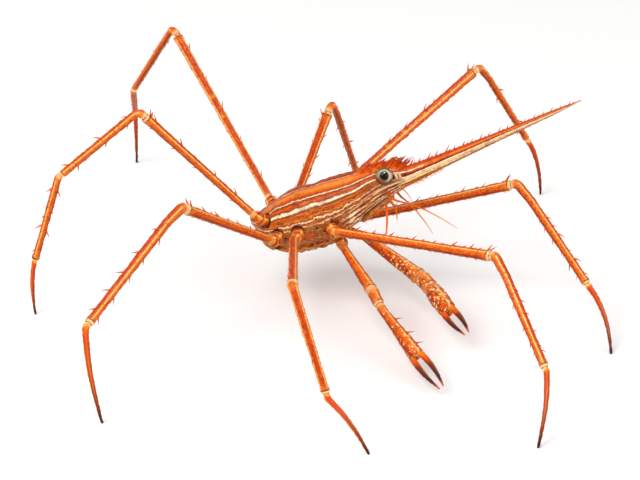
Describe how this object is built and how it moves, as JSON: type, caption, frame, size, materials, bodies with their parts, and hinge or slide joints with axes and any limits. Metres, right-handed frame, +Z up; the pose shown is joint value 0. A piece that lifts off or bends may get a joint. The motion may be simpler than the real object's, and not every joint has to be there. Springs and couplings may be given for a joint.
{
  "type": "life-size arrow crab model",
  "caption": "Still, life-size arrow crab standing on long thin jointed legs, with a pointed beak, small claws and spiny striped shell.",
  "frame": {"origin": "centre of the bounding box in plan, on the floor the toes stand on", "axes": "+X the way the head looks, +Y to the animal's left, +Z up"},
  "size_m": [0.0972, 0.1056, 0.0381],
  "materials": {
    "carapace": "striped orange, brown and cream shell with a soft gloss",
    "rostrum": "orange above and cream below, glossy, with fine teeth",
    "limb_shell": "glossy orange with a pale dotted line and red mottling",
    "limb_joint": "cream and yellow joints with a dark brown crescent",
    "toe": "red-brown darkening to nearly black at the tip",
    "underside": "tan and yellow with brown lines",
    "eye": "glassy grey-olive with a black pupil",
    "feeler": "thin orange feelers"
  },
  "bodies": {
    "root": {"abdomen": "underside", "antenna_left": "feeler", "antenna_right": "feeler", "carapace": "carapace", "claw_left_carpus": "limb_joint", "claw_left_coxa": "limb_joint", "claw_left_finger": "toe", "claw_left_merus": "limb_shell", "claw_left_palm": "limb_shell", "claw_right_carpus": "limb_joint", "claw_right_coxa": "limb_joint", "claw_right_finger": "toe", "claw_right_merus": "limb_shell", "claw_right_palm": "limb_shell", "eye_left": "eye", "eye_right": "eye", "leg_left_1_carpus": "limb_joint", "leg_left_1_coxa": "limb_joint", "leg_left_1_dactyl": "toe", "leg_left_1_merus": "limb_shell", "leg_left_1_propodus": "limb_shell", "leg_left_2_carpus": "limb_joint", "leg_left_2_coxa": "limb_joint", "leg_left_2_dactyl": "toe", "leg_left_2_merus": "limb_shell", "leg_left_2_propodus": "limb_shell", "leg_left_3_carpus": "limb_joint", "leg_left_3_coxa": "limb_joint", "leg_left_3_dactyl": "toe", "leg_left_3_merus": "limb_shell", "leg_left_3_propodus": "limb_shell", "leg_left_4_carpus": "limb_joint", "leg_left_4_coxa": "limb_joint", "leg_left_4_dactyl": "toe", "leg_left_4_merus": "limb_shell", "leg_left_4_propodus": "limb_shell", "leg_right_1_carpus": "limb_joint", "leg_right_1_coxa": "limb_joint", "leg_right_1_dactyl": "toe", "leg_right_1_merus": "limb_shell", "leg_right_1_propodus": "limb_shell", "leg_right_2_carpus": "limb_joint", "leg_right_2_coxa": "limb_joint", "leg_right_2_dactyl": "toe", "leg_right_2_merus": "limb_shell", "leg_right_2_propodus": "limb_shell", "leg_right_3_carpus": "limb_joint", "leg_right_3_coxa": "limb_joint", "leg_right_3_dactyl": "toe", "leg_right_3_merus": "limb_shell", "leg_right_3_propodus": "limb_shell", "leg_right_4_carpus": "limb_joint", "leg_right_4_coxa": "limb_joint", "leg_right_4_dactyl": "toe", "leg_right_4_merus": "limb_shell", "leg_right_4_propodus": "limb_shell", "maxilliped_left": "underside", "maxilliped_right": "underside", "rostrum": "rostrum"}
  },
  "joints": []
}
